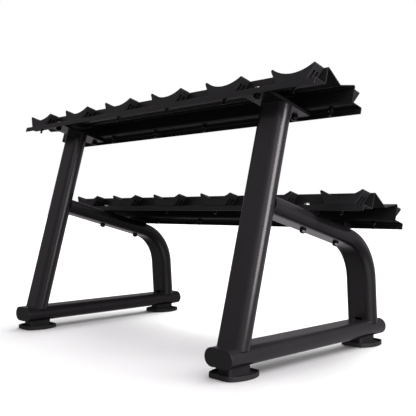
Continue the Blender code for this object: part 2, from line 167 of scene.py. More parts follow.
# Studio: the room's glow from straight below (0) to straight above (1), the tint of its light,
# the even core of a pool of light as a share of its spread, and the pools themselves
# (azimuth, elevation and spread in degrees, strength)
ROOM = ((0.0, 0.10), (0.09, 0.06), (0.29, 0.10), (0.5, 0.19), (0.71, 0.26), (0.91, 0.02), (1.0, 0.0))
TINT = (1.0, 0.935, 0.992)
POOL_CORE = 0.25
POOLS = (
    (135, 45, 35, 1.06),
    (60, 60, 35, 0.40),
    (150, -30, 35, 0.51),
    (255, -15, 35, 0.25),
    (285, -30, 55, 0.15),
    (311, -20, 30, 0.31),
    (75, -45, 55, 0.15),
)

# Softboxes: how the names of the pieces they light start, place, target, width, height and
# strength. The far box is the tall box again, weaker, for the end frame that is further off.
NEAR_SIDE = ("left_", "upper_", "lower_")
FAR_SIDE = ("right_",)
SOFTBOXES = (
    ("tall_box", NEAR_SIDE, (-2.45, 0.29, 1.33), (-0.5, 0.15, 0.8), 1.2, 1.9, 8.8),
    ("far_box", FAR_SIDE, (-2.45, 0.29, 1.33), (-0.5, 0.15, 0.8), 1.2, 1.9, 3.2),
    ("low_box", NEAR_SIDE + FAR_SIDE, (-11.7, -1.85, 2.5), (0, 0, 0.4), 6.4, 4.2, 0.9),
)

# Floor, and its lamp: irradiance, angle across and lean from the vertical towards the user
FLOOR_HALF = 40
SUN_ENERGY = 6.2
SUN_SPREAD = math.radians(95)
SUN_TILT = math.radians(40)

# Camera: place, turn from -Y towards +X, rise, focal length and sensor in millimetres, and
# shift of the picture as a share of its width
CAMERA_PLACE = (-1.69325, 1.557, 0.434375)
CAMERA_YAW = math.radians(45.763)
CAMERA_PITCH = math.radians(0.0965)
CAMERA_LENS = 57.38
CAMERA_SENSOR = 36
CAMERA_SHIFT = (-0.0012, 0.0012)
CAMERA_NEAR = 0.01

# Facets in a full circle, steps in a quarter-circle corner, and how far the middle of a small
# rounded edge stands off its corner, as a share of the edge's width
FINE = 64
SMALL = 32
CORNER_STEPS = 8
EDGE_MIDDLE = 0.3

# Angles in degrees: edges sharper than the first are rounded, flatter than the others smooth
SHARP_ABOVE = 40
SMOOTH_BELOW = 35
TRAY_SMOOTH_BELOW = 30


def middle(node):
    """Centre of a CAD node's box."""
    low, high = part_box(node)
    return (low + high) / 2


def node_size(node):
    """Side lengths of a CAD node's box."""
    low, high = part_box(node)
    return high - low


def saddle_place(node):
    """Origin of a saddle: the middle of its foot."""
    return middle(node) - LEAN.to_3x3() @ Vector((0, 0, SADDLE_HEIGHT / 2))


def tier_origin(label):
    """Middle of a tier, on its floors' centreline, read from its first and last saddles."""
    first = saddle_place(f"{label}_front_saddle_1")
    last = saddle_place(f"{label}_back_saddle_{SADDLES_IN_ROW}")
    return (first + last) / 2 - LEAN.to_3x3() @ Vector((0, 0, FLOOR_TOP + GAP))


TIERS = {label: tier_origin(label) for label in ("upper", "lower")}
FRAME_X = {label: middle(f"{label}_base_tube").x for label in ("left", "right")}
BASE_Z = middle("left_base_tube").z
TRAY_LENGTH = node_size("upper_tray").x
SADDLE_XS = [saddle_place(f"upper_front_saddle_{i + 1}").x for i in range(SADDLES_IN_ROW)]
ROW_OFFSET = (LEAN.inverted() @ (saddle_place("upper_back_saddle_1") - TIERS["upper"])).y


def on_tier(label, x=0.0, y=0.0, z=0.0):
    """Placement of something given along, across and off a tier's floors."""
    return Matrix.Translation(TIERS[label]) @ LEAN @ Matrix.Translation((x, y, z))


# ---------------------------------------------------------------- shapes


def arc(centre, radius, start, end, steps):
    """Points of a circular arc, both ends included; angles in radians."""
    angles = [start + (end - start) * i / steps for i in range(steps + 1)]
    return [(centre[0] + radius * math.cos(a), centre[1] + radius * math.sin(a)) for a in angles]


def racetrack(grow=0.0):
    """Outline of the flat-oval tube: two straight sides joined by half circles at +X and -X."""
    radius = TUBE_ROUND + grow
    centre = (TUBE_WIDTH - TUBE_DEPTH) / 2
    right = arc((centre, 0), radius, -math.pi / 2, math.pi / 2, FINE // 2)
    left = arc((-centre, 0), radius, math.pi / 2, 3 * math.pi / 2, FINE // 2)
    return right + left


def rounded_rectangle(width, length, radius, steps=CORNER_STEPS):
    """Outline of a rectangle with quarter-circle corners."""
    points = []
    for quarter, (sx, sy) in enumerate(((1, 1), (-1, 1), (-1, -1), (1, -1))):
        centre = (sx * (width / 2 - radius), sy * (length / 2 - radius))
        start = quarter * math.pi / 2
        points += arc(centre, radius, start, start + math.pi / 2, steps)
    return points


def small_rounding(width):
    """Points round a small edge, from down its side to across its top: (inset, drop)."""
    return ((0, width), (EDGE_MIDDLE * width, EDGE_MIDDLE * width), (width, 0))


def closed_mesh(bm):
    """Turns a closed bmesh into mesh data with its faces pointing outwards."""
    bmesh.ops.recalc_face_normals(bm, faces=bm.faces)
    mesh = bpy.data.meshes.new("part")
    bm.to_mesh(mesh)
    bm.free()
    return mesh


def loft(rings, closed=False):
    """Solid through a list of rings of 3-D points; its ends are capped unless it is closed."""
    bm = bmesh.new()
    rows = [[bm.verts.new(p) for p in ring] for ring in rings]
    pairs = list(zip(rows, rows[1:]))
    if closed:
        pairs.append((rows[-1], rows[0]))
    for low, high in pairs:
        for i in range(len(low)):
            j = (i + 1) % len(low)
            bm.faces.new((low[i], low[j], high[j], high[i]))
    if not closed:
        bm.faces.new(rows[0])
        bm.faces.new(rows[-1])
    return closed_mesh(bm)


def prism(outline, low, high, place=None):
    """Solid of one outline between two heights on its own Z axis, then moved by place."""
    mesh = loft([[(x, y, z) for x, y in outline] for z in (low, high)])
    if place:
        mesh.transform(place)
    return mesh


def lathe(profile, facets=SMALL):
    """Solid turned about Z from (radius, height) points, listed from bottom to top."""
    turns = [2 * math.pi * i / facets for i in range(facets)]
    rings = [[(r * math.cos(a), r * math.sin(a), z) for a in turns] for r, z in profile]
    return loft(rings)


def drum(radius, low, high, facets=SMALL, centre=(0, 0)):
    """Upright cylinder."""
    return prism(arc(centre, radius, 0, 2 * math.pi, facets)[:-1], low, high)


def bolt_hole(size, centre=(0, 0), low=-DRILL_REACH, high=DRILL_REACH):
    """Drill for a bolt's shaft with room round it."""
    return drum(size["shaft"] + HOLE_CLEARANCE, low, high, SMALL, centre)


def oval_tube(frames):
    """Open-ended flat-oval tube whose section follows a list of placement matrices."""
    rings = []
    for line in (racetrack(), racetrack(-TUBE_WALL)):
        rings.append([[m @ Vector((x, y, 0)) for x, y in line] for m in frames])
    return loft(rings[0] + rings[1][::-1], closed=True)


def combine(mesh, others, operation):
    """Applies one exact Boolean after another and returns the finished mesh."""
    scene = bpy.context.scene.collection
    body = bpy.data.objects.new("body", mesh)
    scene.objects.link(body)
    tools = []
    for other in others:
        tool = bpy.data.objects.new("tool", other)
        scene.objects.link(tool)
        modifier = body.modifiers.new("step", "BOOLEAN")
        modifier.operation = operation
        modifier.solver = "EXACT"
        modifier.object = tool
        tools.append(tool)
    graph = bpy.context.evaluated_depsgraph_get()
    result = bpy.data.meshes.new_from_object(body.evaluated_get(graph))
    for obj in (body, *tools):
        data = obj.data
        bpy.data.objects.remove(obj)
        bpy.data.meshes.remove(data)
    return result


def cut(mesh, *tools):
    """The mesh with the tools taken away."""
    return combine(mesh, tools, "DIFFERENCE")


def soften(mesh, width, segments=2):
    """The mesh with its sharp edges rounded off."""
    body = bpy.data.objects.new("body", mesh)
    bpy.context.scene.collection.objects.link(body)
    bevel = body.modifiers.new("edge", "BEVEL")
    bevel.width = width
    bevel.segments = segments
    bevel.angle_limit = math.radians(SHARP_ABOVE)
    bevel.use_clamp_overlap = False
    graph = bpy.context.evaluated_depsgraph_get()
    result = bpy.data.meshes.new_from_object(body.evaluated_get(graph))
    bpy.data.objects.remove(body)
    bpy.data.meshes.remove(mesh)
    return result


def joined(*meshes):
    """One mesh that holds several shapes, with the material slots of all of them kept apart."""
    bm = bmesh.new()
    for slot, mesh in enumerate(meshes):
        before = len(bm.faces)
        bm.from_mesh(mesh)
        bm.faces.ensure_lookup_table()
        for face in bm.faces[before:]:
            face.material_index = slot
        bpy.data.meshes.remove(mesh)
    result = bpy.data.meshes.new("part")
    bm.to_mesh(result)
    bm.free()
    return result


def single(mesh):
    """The mesh with all its faces in one material slot."""
    mesh.polygons.foreach_set("material_index", [0] * len(mesh.polygons))
    return mesh


def moved(mesh, place):
    """The mesh moved by a placement matrix."""
    mesh.transform(place)
    return mesh


# ---------------------------------------------------------------- materials


class Shader:
    """A Principled material that is put together node by node."""

    def __init__(self, name, roughness, metallic=0.0, specular=0.5):
        self.material = bpy.data.materials.new(name)
        self.material.use_nodes = True
        self.tree = self.material.node_tree
        self.principled = self.tree.nodes["Principled BSDF"]
        self.principled.inputs["Roughness"].default_value = roughness
        self.principled.inputs["Metallic"].default_value = metallic
        self.principled.inputs["Specular IOR Level"].default_value = specular
        self.place = self.add("ShaderNodeTexCoord").outputs["Object"]

    def add(self, kind, **settings):
        """One node with its settings: plain attributes, or inputs by name."""
        node = self.tree.nodes.new(kind)
        for key, value in settings.items():
            if key in node.inputs:
                node.inputs[key].default_value = value
            else:
                setattr(node, key, value)
        return node

    def link(self, source, target):
        """Joins an output to an input."""
        self.tree.links.new(source, target)

    def noise(self, scale, detail=2.0, roughness=0.5):
        """Value of a noise that fills space, scale per metre."""
        node = self.add("ShaderNodeTexNoise", Scale=scale, Detail=detail, Roughness=roughness)
        self.link(self.place, node.inputs["Vector"])
        return node.outputs["Fac"]

    def remap(self, source, low, high, start=0.3, end=0.7):
        """Stretches a value from start..end to low..high."""
        node = self.add("ShaderNodeMapRange")
        self.link(source, node.inputs["Value"])
        settings = {"From Min": start, "From Max": end, "To Min": low, "To Max": high}
        for name, value in settings.items():
            node.inputs[name].default_value = value
        return node.outputs["Result"]

    def blend(self, factor, first, second):
        """Mix of two colours."""
        node = self.add("ShaderNodeMix", data_type="RGBA")
        self.link(factor, node.inputs["Factor"])
        for socket, colour in ((node.inputs["A"], first), (node.inputs["B"], second)):
            if isinstance(colour, tuple):
                socket.default_value = (*colour, 1)
            else:
                self.link(colour, socket)
        return node.outputs["Result"]

    def bump(self, height, distance, strength, below=None):
        """Bump from a height, on top of an earlier one."""
        node = self.add("ShaderNodeBump", Strength=strength, Distance=distance)
        self.link(height, node.inputs["Height"])
        if below:
            self.link(below, node.inputs["Normal"])
        return node.outputs["Normal"]

    def finish(self, colour=None, roughness=None, normal=None):
        """Feeds the Principled shader and returns the material."""
        for name, source in (("Base Color", colour), ("Roughness", roughness), ("Normal", normal)):
            if source:
                self.link(source, self.principled.inputs[name])
        return self.material


def powder_coat(name, dark, light, rough, specular=0.5):
    """Fine-textured powder coat: orange peel, a slow drift in gloss, and convex edges painted paler,
    partly as a painted highlight and partly as wear.
    """
    shader = Shader(name, sum(rough) / 2, specular=specular)
    cloud = shader.noise(scale=9, detail=3)
    speckle = shader.noise(scale=1400, detail=1)
    peel = shader.noise(scale=620)
    colour = shader.blend(shader.remap(cloud, 0, 1), dark, light)
    # Convex edges, found by pointiness, are painted paler: a painted highlight along the edges,
    # partly also wear.
    edge_highlight_and_wear = tuple(3 * c for c in light)
    edge = shader.add("ShaderNodeNewGeometry").outputs["Pointiness"]
    edge_highlight_and_wear_mask = shader.remap(edge, low=0, high=0.5, start=0.56, end=0.75)
    colour = shader.blend(edge_highlight_and_wear_mask, colour, edge_highlight_and_wear)
    roughness = shader.remap(speckle, rough[0], rough[1])
    normal = shader.bump(peel, distance=0.0001, strength=0.3)
    normal = shader.bump(speckle, distance=0.00003, strength=0.3, below=normal)
    return shader.finish(colour, roughness, normal)


def moulded(name, dark, light, rough, grain, depth):
    """Moulded plastic or rubber with a fine eroded grain."""
    shader = Shader(name, sum(rough) / 2)
    cloud = shader.noise(scale=25, detail=3)
    skin = shader.noise(scale=grain, detail=3, roughness=0.65)
    colour = shader.blend(shader.remap(cloud, 0, 1), dark, light)
    roughness = shader.remap(skin, rough[0], rough[1])
    return shader.finish(colour, roughness, shader.bump(skin, depth, strength=0.6))


def plated(name, colour, rough):
    """Plated steel: cloudy passivation and fine drawn scratches."""
    shader = Shader(name, sum(rough) / 2, metallic=1.0)
    cloud = shader.noise(scale=160, detail=3)
    scratch = shader.noise(scale=2600)
    darker = tuple(0.72 * c for c in colour)
    tint = shader.blend(shader.remap(cloud, 0, 1), darker, colour)
    roughness = shader.remap(cloud, rough[0], rough[1])
    return shader.finish(tint, roughness, shader.bump(scratch, distance=0.00002, strength=0.5))


MATERIALS = {
    "frame_powder_coat": powder_coat(
        "frame_powder_coat",
        dark=(0.014, 0.0135, 0.014),
        light=(0.018, 0.0175, 0.018),
        rough=(0.22, 0.28),
    ),
    "tray_powder_coat": powder_coat(
        "tray_powder_coat",
        dark=(0.012, 0.012, 0.0125),
        light=(0.015, 0.015, 0.0155),
        rough=(0.34, 0.42),
        specular=0.45,
    ),
    "saddle_plastic": moulded(
        "saddle_plastic",
        dark=(0.012, 0.012, 0.0125),
        light=(0.016, 0.016, 0.0165),
        rough=(0.45, 0.6),
        grain=1100,
        depth=0.00008,
    ),
    "cap_plastic": moulded(
        "cap_plastic",
        dark=(0.014, 0.014, 0.0145),
        light=(0.018, 0.018, 0.0185),
        rough=(0.42, 0.55),
        grain=1500,
        depth=0.00005,
    ),
    "foot_rubber": moulded(
        "foot_rubber",
        dark=(0.012, 0.012, 0.012),
        light=(0.018, 0.018, 0.018),
        rough=(0.55, 0.75),
        grain=800,
        depth=0.00009,
    ),
    "zinc_steel": plated("zinc_steel", (0.52, 0.52, 0.50), (0.28, 0.42)),
}
BLACK_STEEL = plated("black_steel", (0.035, 0.035, 0.036), (0.20, 0.30))


def show(name, mesh, slot, nodes=(), extra=(), smooth_below=SMOOTH_BELOW):
    """Puts a finished piece in the scene, in the finish of a record slot and in extra ones,
    and lets it replace CAD nodes."""
    for material in (MATERIALS[slot], *extra):
        mesh.materials.append(material)
    mesh.polygons.foreach_set("use_smooth", [True] * len(mesh.polygons))
    mesh.set_sharp_from_angle(angle=math.radians(smooth_below))
    piece = bpy.data.objects.new(name, mesh)
    bpy.context.scene.collection.objects.link(piece)
    even = piece.modifiers.new("even", "WEIGHTED_NORMAL")
    even.keep_sharp = True
    graph = bpy.context.evaluated_depsgraph_get()
    piece.data = bpy.data.meshes.new_from_object(piece.evaluated_get(graph))
    piece.modifiers.clear()
    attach(piece, "root")
    if nodes:
        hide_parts(*nodes)


# ---------------------------------------------------------------- trays


def cut_corners(point, along, outward, thickness):
    """Rounded corners of a sheet's cut end, for the two sides of its centreline."""
    normal = Vector((-along.y, along.x))
    corners = []
    for sign in (1, -1):
        centre = point + sign * normal * (thickness / 2 - CUT_EDGE) - outward * CUT_EDGE
        corner = []
        for a in (math.pi / 2, math.pi / 4, 0):
            corner.append(centre + CUT_EDGE * (math.sin(a) * outward + math.cos(a) * sign * normal))
        corners.append(corner)
    return corners


def bend_arcs(point, before, after, thickness):
    """Arcs of a bend in a sheet, for the two sides of its centreline."""
    turn = before.angle_signed(after)
    inward = -1 if turn > 0 else 1
    tangent = point - before * BEND_RADIUS * math.tan(abs(turn) / 2)
    centre = tangent + Vector((-before.y, before.x)) * inward * BEND_RADIUS
    start = math.atan2(tangent.y - centre.y, tangent.x - centre.x)
    arcs = []
    for shift in (-inward, inward):
        radius = BEND_RADIUS + shift * thickness / 2
        arcs.append([Vector(p) for p in arc(centre, radius, start, start - turn, BEND_STEPS)])
    return arcs


def sheet_section(thickness, shrink):
    """Section of a tray: two floors with lips, two walls and a shallow valley between them."""
    half = [(TRAY_HALF, shrink - LIP_DROP), (TRAY_HALF, 0), (WALL_Y, 0), (WALL_Y, WALL_HEIGHT)]
    line = half + [(0, VALLEY_HEIGHT)] + [(-y, z) for y, z in reversed(half)]
    line = [Vector(p) for p in line]
    last = len(line) - 1
    sides = ([], [])
    for i, point in enumerate(line):
        before = (point - line[max(i - 1, 0)]).normalized()
        after = (line[min(i + 1, last)] - point).normalized()
        if i == 0:
            pair = cut_corners(point, after, -after, thickness)
        elif i == last:
            pair = [corner[::-1] for corner in cut_corners(point, before, before, thickness)]
        else:
            pair = bend_arcs(point, before, after, thickness)
        for side, points in zip(sides, pair):
            side.extend(points)
    return [tuple(p) for p in sides[0] + sides[1][::-1]]


def make_tray():
    """Tray of folded sheet with rounded cut ends and its bolt holes."""
    rings = []
    ends = small_rounding(CUT_EDGE)
    for side, steps in ((-1, ends), (1, ends[::-1])):
        for inset, shrink in steps:
            x = side * (TRAY_LENGTH / 2 - inset)
            section = sheet_section(SHEET - 2 * CUT_TAPER * shrink, shrink)
            rings.append([(x, y, z) for y, z in section])
    tray = loft(rings)
    holes = []
    for y in (-ROW_OFFSET, ROW_OFFSET):
        for x in SADDLE_XS:
            holes.append(bolt_hole(M8, (x, y)))
        for x in FRAME_X.values():
            holes.append(bolt_hole(M10, (x, y)))
    return cut(tray, *holes)


# ---------------------------------------------------------------- saddles


def saddle_side_angle():
    """Angle above the floor of a saddle's leaning side, which runs tangent to its round tip."""
    rise = SADDLE_HEIGHT - SADDLE_TIP_RADIUS
    run = SADDLE_TIP_HALF - SADDLE_TIP_RADIUS - SADDLE_BASE_HALF
    return math.atan2(rise, run) - math.asin(SADDLE_TIP_RADIUS / math.hypot(rise, run))


def saddle_outline():
    """Front view of a saddle: a flat foot, leaning sides, round tips and a hollow arc."""
    tip_x = SADDLE_TIP_HALF - SADDLE_TIP_RADIUS
    tip_z = SADDLE_HEIGHT - SADDLE_TIP_RADIUS
    rise = tip_z - SADDLE_WAIST
    span = tip_x**2 + rise**2 - SADDLE_TIP_RADIUS**2
    hollow_radius = span / (2 * (rise + SADDLE_TIP_RADIUS))
    centre_z = SADDLE_WAIST + hollow_radius
    to_centre = math.atan2(centre_z - tip_z, -tip_x)
    side = saddle_side_angle()
    tip = arc((tip_x, tip_z), SADDLE_TIP_RADIUS, side - math.pi / 2, to_centre, CORNER_STEPS)
    swing = to_centre + math.pi
    bowl = arc((0, centre_z), hollow_radius, swing, 3 * math.pi - swing, BOWL_STEPS)
    mirrored_tip = [(-x, z) for x, z in reversed(tip)]
    foot = [(-SADDLE_BASE_HALF, 0), (SADDLE_BASE_HALF, 0)]
    return tip + bowl[1:-1] + mirrored_tip + foot


def make_saddle():
    """Saddle with rounded edges, a bolt recess and two open pockets in each leaning side."""
    lean = 1 / math.tan(saddle_side_angle())
    upright = Matrix.Rotation(math.pi / 2, 4, "X")
    body = prism(saddle_outline(), -SADDLE_DEPTH / 2, SADDLE_DEPTH / 2, upright)
    body = soften(body, SADDLE_EDGE, segments=3)
    top = SADDLE_BASE_HALF + lean * POCKET_HEIGHT
    pockets = []
    for side in (-1, 1):
        outline = [
            (side * (SADDLE_BASE_HALF - POCKET_DEPTH - lean * SADDLE_HEIGHT), -SADDLE_HEIGHT),
            (side * (SADDLE_BASE_HALF + POCKET_DEPTH), -SADDLE_HEIGHT),
            (side * (top + POCKET_DEPTH), POCKET_HEIGHT),
            (side * (top - POCKET_DEPTH), POCKET_HEIGHT),
        ]
        for y in (-POCKET_OFFSET, POCKET_OFFSET):
            pocket = prism(outline, y - POCKET_WIDTH / 2, y + POCKET_WIDTH / 2, upright)
            pockets.append(soften(pocket, SADDLE_EDGE))
    hole = bolt_hole(M8, high=2 * SADDLE_HEIGHT)
    recess = drum(RECESS_RADIUS, RECESS_FLOOR, 2 * SADDLE_HEIGHT, FINE)
    return cut(body, *pockets, hole, recess)


# ---------------------------------------------------------------- bolts


def hexagon(radius):
    """Corners of a hexagon."""
    return arc((0, 0), radius, 0, 2 * math.pi, 6)[:-1]


def hex_solid(radius, low, high, chamfer_low=True):
    """Hexagonal nut or head with its corners turned off at its top, and mostly at its foot."""
    body = prism(hexagon(radius), low, high)
    flat = radius * math.cos(math.pi / 6)
    slope = (radius - flat) * math.tan(HEX_CHAMFER)
    wide = radius + slope
    foot = [(wide, low - slope)]
    if chamfer_low:
        foot = [(flat * HEX_FACE, low), (wide, low + 2 * slope)]
    top = [(wide, high - 2 * slope), (flat * HEX_FACE, high)]
    return combine(body, [lathe(foot + top, FINE)], "INTERSECT")


def washer(radius, low, high):
    """Flat washer with rounded rims."""
    edge = (high - low) / 5
    rim = [(radius, low + edge), (radius, high - edge)]
    return lathe([(radius - edge, low)] + rim + [(radius - edge, high)], FINE)


def threaded_end(radius, low, high):
    """Shaft that ends in a chamfered thread at its low end."""
    profile = [(radius - 2 * THREAD_DEPTH, low)]
    z = low + THREAD_DEPTH
    while z < high - THREAD_PITCH:
        crest = [(radius, z), (radius, z + THREAD_PITCH / 4)]
        root = (radius - THREAD_DEPTH, z + THREAD_PITCH * 5 / 8)
        profile += crest + [root]
        z += THREAD_PITCH
    profile.append((radius, high))
    return lathe(profile, SMALL)


def under_hardware(size, under, stick_out):
    """Washer, nut and protruding thread below a face at height under."""
    seat = under - size["washer_thickness"]
    nut = seat - size["nut"]
    return [
        washer(size["washer"], seat, under),
        hex_solid(size["hex"], nut, seat),
        threaded_end(size["shaft"], nut - stick_out, seat),
    ]


def make_frame_bolt(grip):
    """Frame bolt: zinc head and washer above, black washer, nut and thread end below."""
    top = GAP + M10["washer_thickness"]
    head = joined(
        washer(M10["washer"], GAP, top),
        hex_solid(M10["hex"], top, top + HEAD_HEIGHT, chamfer_low=False),
        drum(M10["shaft"], -grip, top),
    )
    below = joined(*under_hardware(M10, -grip - GAP, BOLT_STICK_OUT))
    return joined(single(head), single(below))


def make_saddle_bolt():
    """Button-head bolt in a saddle's recess with washer, nut and thread under the floor."""
    floor = FLOOR_TOP + GAP + RECESS_FLOOR
    rim = floor + BUTTON_RIM
    dome = [(BUTTON_RADIUS, floor + GAP), (BUTTON_RADIUS, rim)]
    for i in range(1, BUTTON_STEPS + 1):
        turn = i / BUTTON_STEPS * math.pi / 2
        radius = BUTTON_RADIUS - (BUTTON_RADIUS - BUTTON_TOP_RADIUS) * (1 - math.cos(turn))
        dome.append((radius, rim + (BUTTON_HEIGHT - BUTTON_RIM) * math.sin(turn)))
    socket = prism(hexagon(SOCKET_RADIUS), floor + BUTTON_HEIGHT / 2, floor + 2 * BUTTON_HEIGHT)
    head = joined(cut(lathe(dome, FINE), socket), drum(M8["shaft"], -FLOOR_TOP, floor + GAP))
    stick_out = SADDLE_BOLT_REACH - FLOOR_TOP - GAP - M8["washer_thickness"] - M8["nut"]
    below = joined(*under_hardware(M8, -FLOOR_TOP - GAP, stick_out))
    return joined(single(head), single(below))


# ---------------------------------------------------------------- end frames


def base_height(x):
    """Height of the base tube's upper surface at a distance x from its middle plane."""
    over = min(max(abs(x) - (TUBE_WIDTH - TUBE_DEPTH) / 2, 0), TUBE_ROUND)
    return BASE_Z + math.sqrt(TUBE_ROUND**2 - over**2)


def base_cutter(x):
    """Room for the base tube and all below the cope: a tube wraps the base tube's top and
    part of its shoulders, and is cut off level from there outwards."""
    centre = (TUBE_WIDTH - TUBE_DEPTH) / 2
    shoulder = arc((centre, 0), TUBE_ROUND + GAP, COPE_ANGLE, math.pi / 2, FINE // 8)
    mirrored = [(-u, v) for u, v in reversed(shoulder)]
    level = shoulder[0][1]
    below = [(-TUBE_WIDTH, level), (-TUBE_WIDTH, -TUBE_WIDTH), (TUBE_WIDTH, -TUBE_WIDTH)]
    outline = shoulder + mirrored + below + [(TUBE_WIDTH, level)]
    along_y = Matrix.Translation((x, 0, BASE_Z)) @ Matrix.Rotation(math.pi / 2, 4, "X")
    return prism(outline, -TUBE_WIDTH * 8, TUBE_WIDTH * 8, along_y)


def upright_place(x):
    """Placement of an upright's section at the upper tier, its Z axis up the tube."""
    return on_tier("upper", x, UPRIGHT_OFFSET)


def make_upright(x):
    """Rear tube of an end frame, coped over the base tube."""
    place = upright_place(x)
    top = -(FLOOR_TOP + PLATE_THICKNESS + 2 * GAP)
    bottom = -place.translation.z / math.cos(TILT)
    frames = [place @ Matrix.Translation((0, 0, z)) for z in (bottom, top)]
    return cut(oval_tube(frames), base_cutter(x))


def leg_frames(x):
    """Placements of the front leg's section, from the upright to below the base tube."""
    z = -LEG_DROP_BELOW_FLOOR
    reach = LEG_BEND_RADIUS * math.tan(LEG_BEND / 2)
    face = upright_place(x) @ Vector((0, -TUBE_DEPTH / 2, 0))
    start = (on_tier("lower", x).inverted() @ face).y + LEG_ENTRY
    centre = Vector((0, LEG_CORNER + reach, z - LEG_BEND_RADIUS))
    to_minus_y = Matrix.Rotation(math.pi / 2, 4, "X")
    frames = [Matrix.Translation((0, start, z)) @ to_minus_y]
    for i in range(LEG_BEND_STEPS + 1):
        turn = Matrix.Rotation(LEG_BEND * i / LEG_BEND_STEPS, 4, "X")
        point = centre + turn.to_3x3() @ Vector((0, 0, LEG_BEND_RADIUS))
        frames.append(Matrix.Translation(point) @ turn @ to_minus_y)
    frames.append(frames[-1] @ Matrix.Translation((0, 0, LEG_FOOT_LENGTH - reach)))
    return [on_tier("lower", x) @ m for m in frames]


def make_leg(x):
    """Front leg, open round the upright and coped over the base tube, with a vent at its foot."""
    frames = leg_frames(x)
    behind = prism(racetrack(GAP), -TUBE_WIDTH * 5, TUBE_WIDTH * 3, upright_place(x))
    foot_y = frames[-1].translation.y
    slot = rounded_rectangle(SLOT_WIDTH, TUBE_WIDTH, SLOT_CORNER)
    vent_place = Matrix.Translation((x, foot_y + TUBE_WIDTH / 2, base_height(0)))
    vent = prism(slot, -SLOT_HEIGHT, SLOT_HEIGHT, vent_place)
    holes = []
    for y in (-ROW_OFFSET, ROW_OFFSET):
        hole = bolt_hole(M10, (0, y), -2 * TUBE_DEPTH, 0)
        holes.append(moved(hole, on_tier("lower", x)))
    return cut(oval_tube(frames), behind, base_cutter(x), vent, *holes)


def make_base_tube(x, length):
    """Floor tube of an end frame between its two caps."""
    half = length / 2
    along_y = Matrix.Translation((x, 0, BASE_Z)) @ Matrix.Rotation(math.pi / 2, 4, "X")
    frames = [along_y @ Matrix.Translation((0, 0, z)) for z in (-half, half)]
    return oval_tube(frames)


def make_cap(side):
    """End cap: a flat face with a rounded rim, flush with the tube, and a plug inside it."""
    steps = (
        (-TUBE_WALL - GAP, -CAP_PLUG),
        (-TUBE_WALL - GAP, -CAP_FLANGE),
        (0, -CAP_FLANGE),
        *((-inset, -drop) for inset, drop in small_rounding(CAP_EDGE)),
    )
    rings = []
    for grow, z in steps:
        rings.append([(x, y, z) for x, y in racetrack(grow)])
    return moved(loft(rings), Matrix.Rotation(-side * math.pi / 2, 4, "X"))


def make_plate():
    """Thick plate on an upright's top, bolted under both floors of the upper tray."""
    outline = rounded_rectangle(2 * PLATE_HALF_WIDTH, 2 * PLATE_HALF_LENGTH, PLATE_CORNER, 3)
    plate = soften(prism(outline, -PLATE_THICKNESS, 0), PLATE_EDGE)
    return cut(plate, bolt_hole(M10, (0, -ROW_OFFSET)), bolt_hole(M10, (0, ROW_OFFSET)))


def make_spacer():
    """Block between a lower tray floor and the leg, its foot following the oval tube."""
    height = LEG_DROP_BELOW_FLOOR - TUBE_DEPTH / 2 - FLOOR_TOP - 2 * GAP
    flat = (TUBE_WIDTH - TUBE_DEPTH) / 2
    radius = TUBE_ROUND + GAP
    sweep = math.acos((SPACER_HALF_WIDTH - flat) / radius)
    right = arc((flat, -height - radius), radius, math.pi / 2, sweep, CORNER_STEPS)
    outline = [(SPACER_HALF_WIDTH, 0), (-SPACER_HALF_WIDTH, 0)]
    outline += [(-u, v) for u, v in reversed(right)] + right
    block = prism(outline, -SPACER_DEPTH / 2, SPACER_DEPTH / 2, Matrix.Rotation(math.pi / 2, 4, "X"))
    return cut(soften(block, SPACER_EDGE), bolt_hole(M10, low=-2 * height, high=height))


def spaced_points(line, closed):
    """Points at even steps along a line, each with the length of line up to it."""
    lengths = [(b - a).length for a, b in zip(line, line[1:] + line[:1])]
    if not closed:
        lengths = lengths[:-1]
    total = sum(lengths)
    count = max(int(total / WELD_STEP), WELD_LEAST_POINTS)
    samples = []
    for i in range(count):
        goal = total * i / (count if closed else count - 1)
        j = 0
        while j < len(lengths) - 1 and goal > lengths[j]:
            goal -= lengths[j]
            j += 1
        point = line[j].lerp(line[(j + 1) % len(line)], min(goal / lengths[j], 1))
        samples.append((point, total * i / count))
    return samples


def make_weld(points, closed=True):
    """Weld bead along a line of points, swelling a little at every ripple of the torch."""
    samples = spaced_points([Vector(p) for p in points], closed)
    last = len(samples) - 1
    turns = [2 * math.pi * k / WELD_FACETS for k in range(WELD_FACETS)]
    rings = []
    for i, (point, run) in enumerate(samples):
        after = (i + 1) % len(samples) if closed else min(i + 1, last)
        before = i - 1 if closed or i else 0
        along = (samples[after][0] - samples[before][0]).normalized()
        side = along.cross(Vector((0, 0, 1)))
        side = side.normalized() if side.length > WELD_STEEP else Vector((1, 0, 0))
        up = side.cross(along)
        swell = WELD_SWELL * math.sin(2 * math.pi * run / WELD_RIPPLE)
        swell += WELD_UNEVEN * math.sin(run * WELD_UNEVEN_RATE)
        radius = WELD_RADIUS * (1 + swell)
        if not closed and i in (0, last):
            radius *= WELD_END
        rings.append([point + radius * (math.cos(t) * side + math.sin(t) * up) for t in turns])
    return loft(rings, closed)


def coped_line(place, face, start, end):
    """Line where one face of a tube (1 or -1) meets the base tube, from start to end across it."""
    straight = (TUBE_WIDTH - TUBE_DEPTH) / 2
    along = place.to_3x3() @ Vector((0, 0, 1))
    points = []
    for i in range(COPE_STEPS + 1):
        u = start + (end - start) * i / COPE_STEPS
        over = max(abs(u) - straight, 0)
        point = place @ Vector((u, face * math.sqrt(TUBE_ROUND**2 - over**2), 0))
        points.append(point + along * ((base_height(u) - point.z) / along.z))
    return points


def foot_weld(place, vent_face=0):
    """Beads along both faces of a coped tube, one of them broken by the tube's vent."""
    reach = (TUBE_WIDTH - TUBE_DEPTH) / 2 + TUBE_ROUND * math.cos(COPE_ANGLE)
    beads = []
    for face in (-1, 1):
        stretches = [(-reach, reach)]
        if face == vent_face:
            stretches = [(-reach, -WELD_VENT_GAP), (WELD_VENT_GAP, reach)]
        for start, end in stretches:
            beads.append(make_weld(coped_line(place, face, start, end), closed=False))
    return single(joined(*beads))


